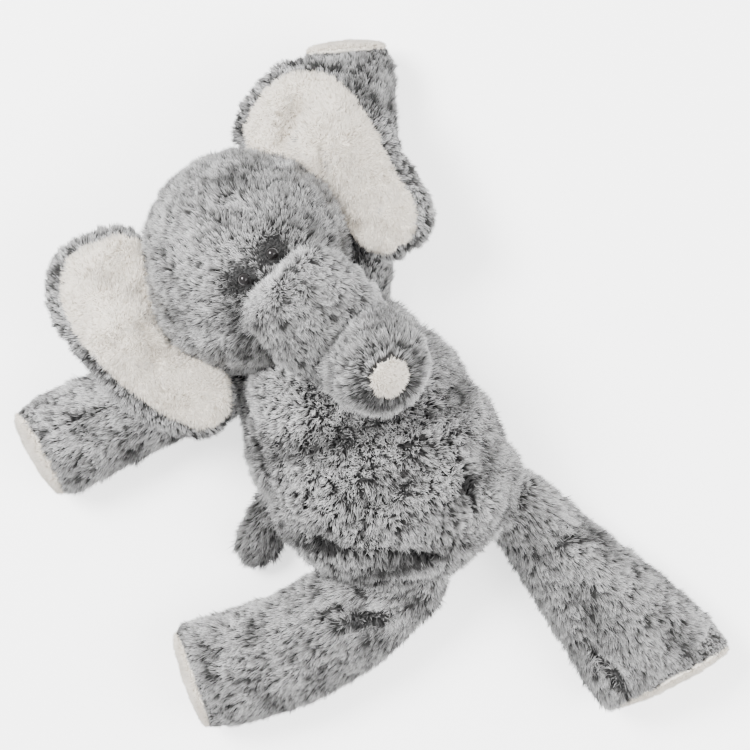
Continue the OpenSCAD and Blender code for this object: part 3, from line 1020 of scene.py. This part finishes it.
EARS = {
    # outlines as (away from the head, along the hinge), in mm, then how the ear is folded
    "left_ear": dict(
        outline=[(-17, 38), (-8, 45), (2, 48), (16, 48), (26, 44), (36, 33), (40, 20), (38, 5),
                 (34, -8), (30, -18), (27, -30), (24, -41), (18, -49), (11, -53), (2, -52),
                 (-7, -49), (-12, -42), (-12, -30), (-10, -15), (-10, 5), (-14, 22)],
        lining=[(-16, 32), (-8, 40), (3, 43), (16, 43), (25, 38), (32, 28), (33, 16), (30, 2),
                (26, -10), (21, -23), (18, -36), (13, -44), (5, -48), (-5, -47), (-11, -41),
                (-12, -30), (-10, -15), (-10, 5), (-14, 20)],
        folds=[([(14, 29), (6, 25), (-3, 22)], 5.5, 6), ([(6, 7), (1, 2), (-4, -3)], 4.5, 3),
               ([(-8, 12), (-7, -10), (-8, -28)], 3.0, 4)],
        joint="left_ear_flap", turn=12, side=1),
    "right_ear": dict(
        outline=[(-12, 35), (-4, 42), (4, 44), (14, 45), (23, 43), (31, 37), (37, 28), (39, 17),
                 (37, 5), (35, -6), (33, -18), (30, -30), (26, -39), (20, -48), (12, -56),
                 (4, -60), (-4, -59), (-11, -54), (-15, -44), (-14, -34), (-9, -26), (-6, -10),
                 (-7, 8), (-10, 24)],
        lining=[(-12, 30), (-5, 37), (3, 39), (14, 40), (22, 37), (28, 30), (32, 19), (32, 5),
                (30, -6), (27, -18), (23, -29), (19, -38), (13, -47), (8, -54), (3, -57),
                (-5, -58), (-10, -54), (-15, -44), (-14, -35), (-9, -27), (-6, -10), (-7, 8),
                (-11, 22)],
        folds=[([(7, 23), (1, 23)], 4.5, 6), ([(7, -4), (7, -12), (10, -21)], 4.0, 4),
               ([(-3, -15), (2, -18)], 4.5, 3), ([(-2, 12), (-1, -6), (-6, -22)], 3.0, 4)],
        joint="right_ear_flap", turn=-5, side=-1),
}


def ear_place(points, ear):
    """Drapes an ear drawn flat and puts it on its hinge."""
    p = points / MM
    u, v, z = p[:, 0], p[:, 1], p[:, 2]
    rim = np.clip(u / 42, -0.4, 1.2)
    drape = 4.5 * np.sin(rim * 2.6) - 2.0 * rim**2 + 1.4 * np.sin(v / 13 + u / 17)
    flat = np.stack([u, v, 0 * u], 1)
    for line, depth, width in ear["folds"]:
        d, near = distance_to_line(flat, [(a, b, 0) for a, b in line])
        drape = drape - depth * np.exp(-((d / width) ** 2))
    z = z + drape
    x = u * ear["side"]
    c, s = math.cos(math.radians(ear["turn"])), math.sin(math.radians(ear["turn"]))
    hinge = np.array(pivot(ear["joint"])) / MM
    out = np.stack([hinge[0] + x * c - v * s, hinge[1] + x * s + v * c, hinge[2] + z], 1)
    return out * MM


def flip_if_mirrored(piece, ear):
    """A mirrored ear is inside out until its faces are turned."""
    if ear["side"] < 0:
        piece.data.flip_normals()


for number, (name, ear) in enumerate(EARS.items()):
    outline = smooth_outline(ear["outline"], 96)
    inner = smooth_outline(ear["lining"], 96)
    back = plate(f"{name}_back_skin", outline, 4.5, -4.5, 1.8)
    lining = plate(f"{name}_lining_skin", inner, 3.5, -1.0, 1.6)
    for piece in (back, lining):
        set_points(piece, ear_place(points_of(piece), ear))
        flip_if_mirrored(piece, ear)
    finish_skin(back, grey_cloth)
    finish_skin(lining, cream_cloth)
    mid = points_of(back).mean(0)

    def outward(places, normals, mid=mid):
        """Away from the middle of the ear, over its edge."""
        flow = unit(places - mid)
        flow[:, 2] -= 0.2
        return flow * 0.95

    creases = [(ear_place(np.array([(a, b, 0) for a, b in line]) * MM, ear), width)
               for line, depth, width in ear["folds"]]

    def painted_pleat_shade(places, creases=creases):
        """Painted shade: the hollows of the lining are darkened."""
        shadow = np.zeros(len(places))
        for line, width in creases:
            d, near = distance_to_line(places, line)
            shadow = np.maximum(shadow, 0.8 * np.exp(-((d / (0.9 * width * MM)) ** 2)))
        return shadow

    def to_edge(places, normals, mid=mid):
        """The pile lies toward the outer edge."""
        return unit(places - mid) * 0.7

    back_fur = grow_fur(f"{name}_fur", back, outward, 60 + number, length=4.4, lift=0.5,
                        density=3.8, thick=0.4, wild=0.28, clump=0.5, shade=0.24, mottle=0.6)
    pile = grow_fur(f"{name}_pile", lining, to_edge, 70 + number, density=5.5, length=3.2, lift=0.45,
                    wild=0.3, clump=0.45, tuft=3, thick=0.36, shade=0.1, mottle=0.2,
                    material=cream_fur, darker=painted_pleat_shade, keep=lambda p, f: np.where(f[:, 2] > 0.1, 1.0, 0.25))
    hinge = pivot(ear["joint"])
    bends([back, *back_fur])
    bends([lining, *pile])
    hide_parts(f"{name}_back")
    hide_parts(f"{name}_lining")

# %% [markdown]
# ## Tail
# A short limp paddle that comes out from under the torso.

# %% Tail
tail_hinge = pivot("tail_wag")
tail_run = Vector((math.cos(math.radians(211)), math.sin(math.radians(211)), 0))
tail_balls = [
    lump(tail_hinge + tail_run * (s * MM), (11 * MM, w * MM, h * MM), along(tail_run))
    for s, w, h in ((-16, 7, 6), (-5, 8.5, 7), (5, 9.5, 7.5), (12, 9.5, 7.5))
]
tail_skin = grown_together("tail_skin", tail_balls, 2.2, 4)
rest_on_table(tail_skin, 0.3)
finish_skin(tail_skin, grey_cloth)
tail_fur = grow_fur("tail_fur", tail_skin, lambda p, n: np.tile(np.array(tail_run) * 0.9, (len(p), 1)),
                    80, lift=0.5, shade=0.55, mottle=0.25, low=0.5)
bends([tail_skin, *tail_fur])
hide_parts("tail_upper", "tail_under", "tail_stuffing")

# %% [markdown]
# ## Eyes and what is inside
# The eyes are glossy black domes. Their washers and shanks are inside the head.

# %% Eyes
eye_material, _, eye_shader = new_material("polished_black_eye", 0.06)
eye_shader.inputs["Base Color"].default_value = (0.006, 0.005, 0.005, 1)
eye_shader.inputs["Specular IOR Level"].default_value = 0.4
for node in ("left_eye", "right_eye"):
    frame["nodes"][node].data.materials.clear()
    frame["nodes"][node].data.materials.append(eye_material)
print("strands in all:", total_strands)
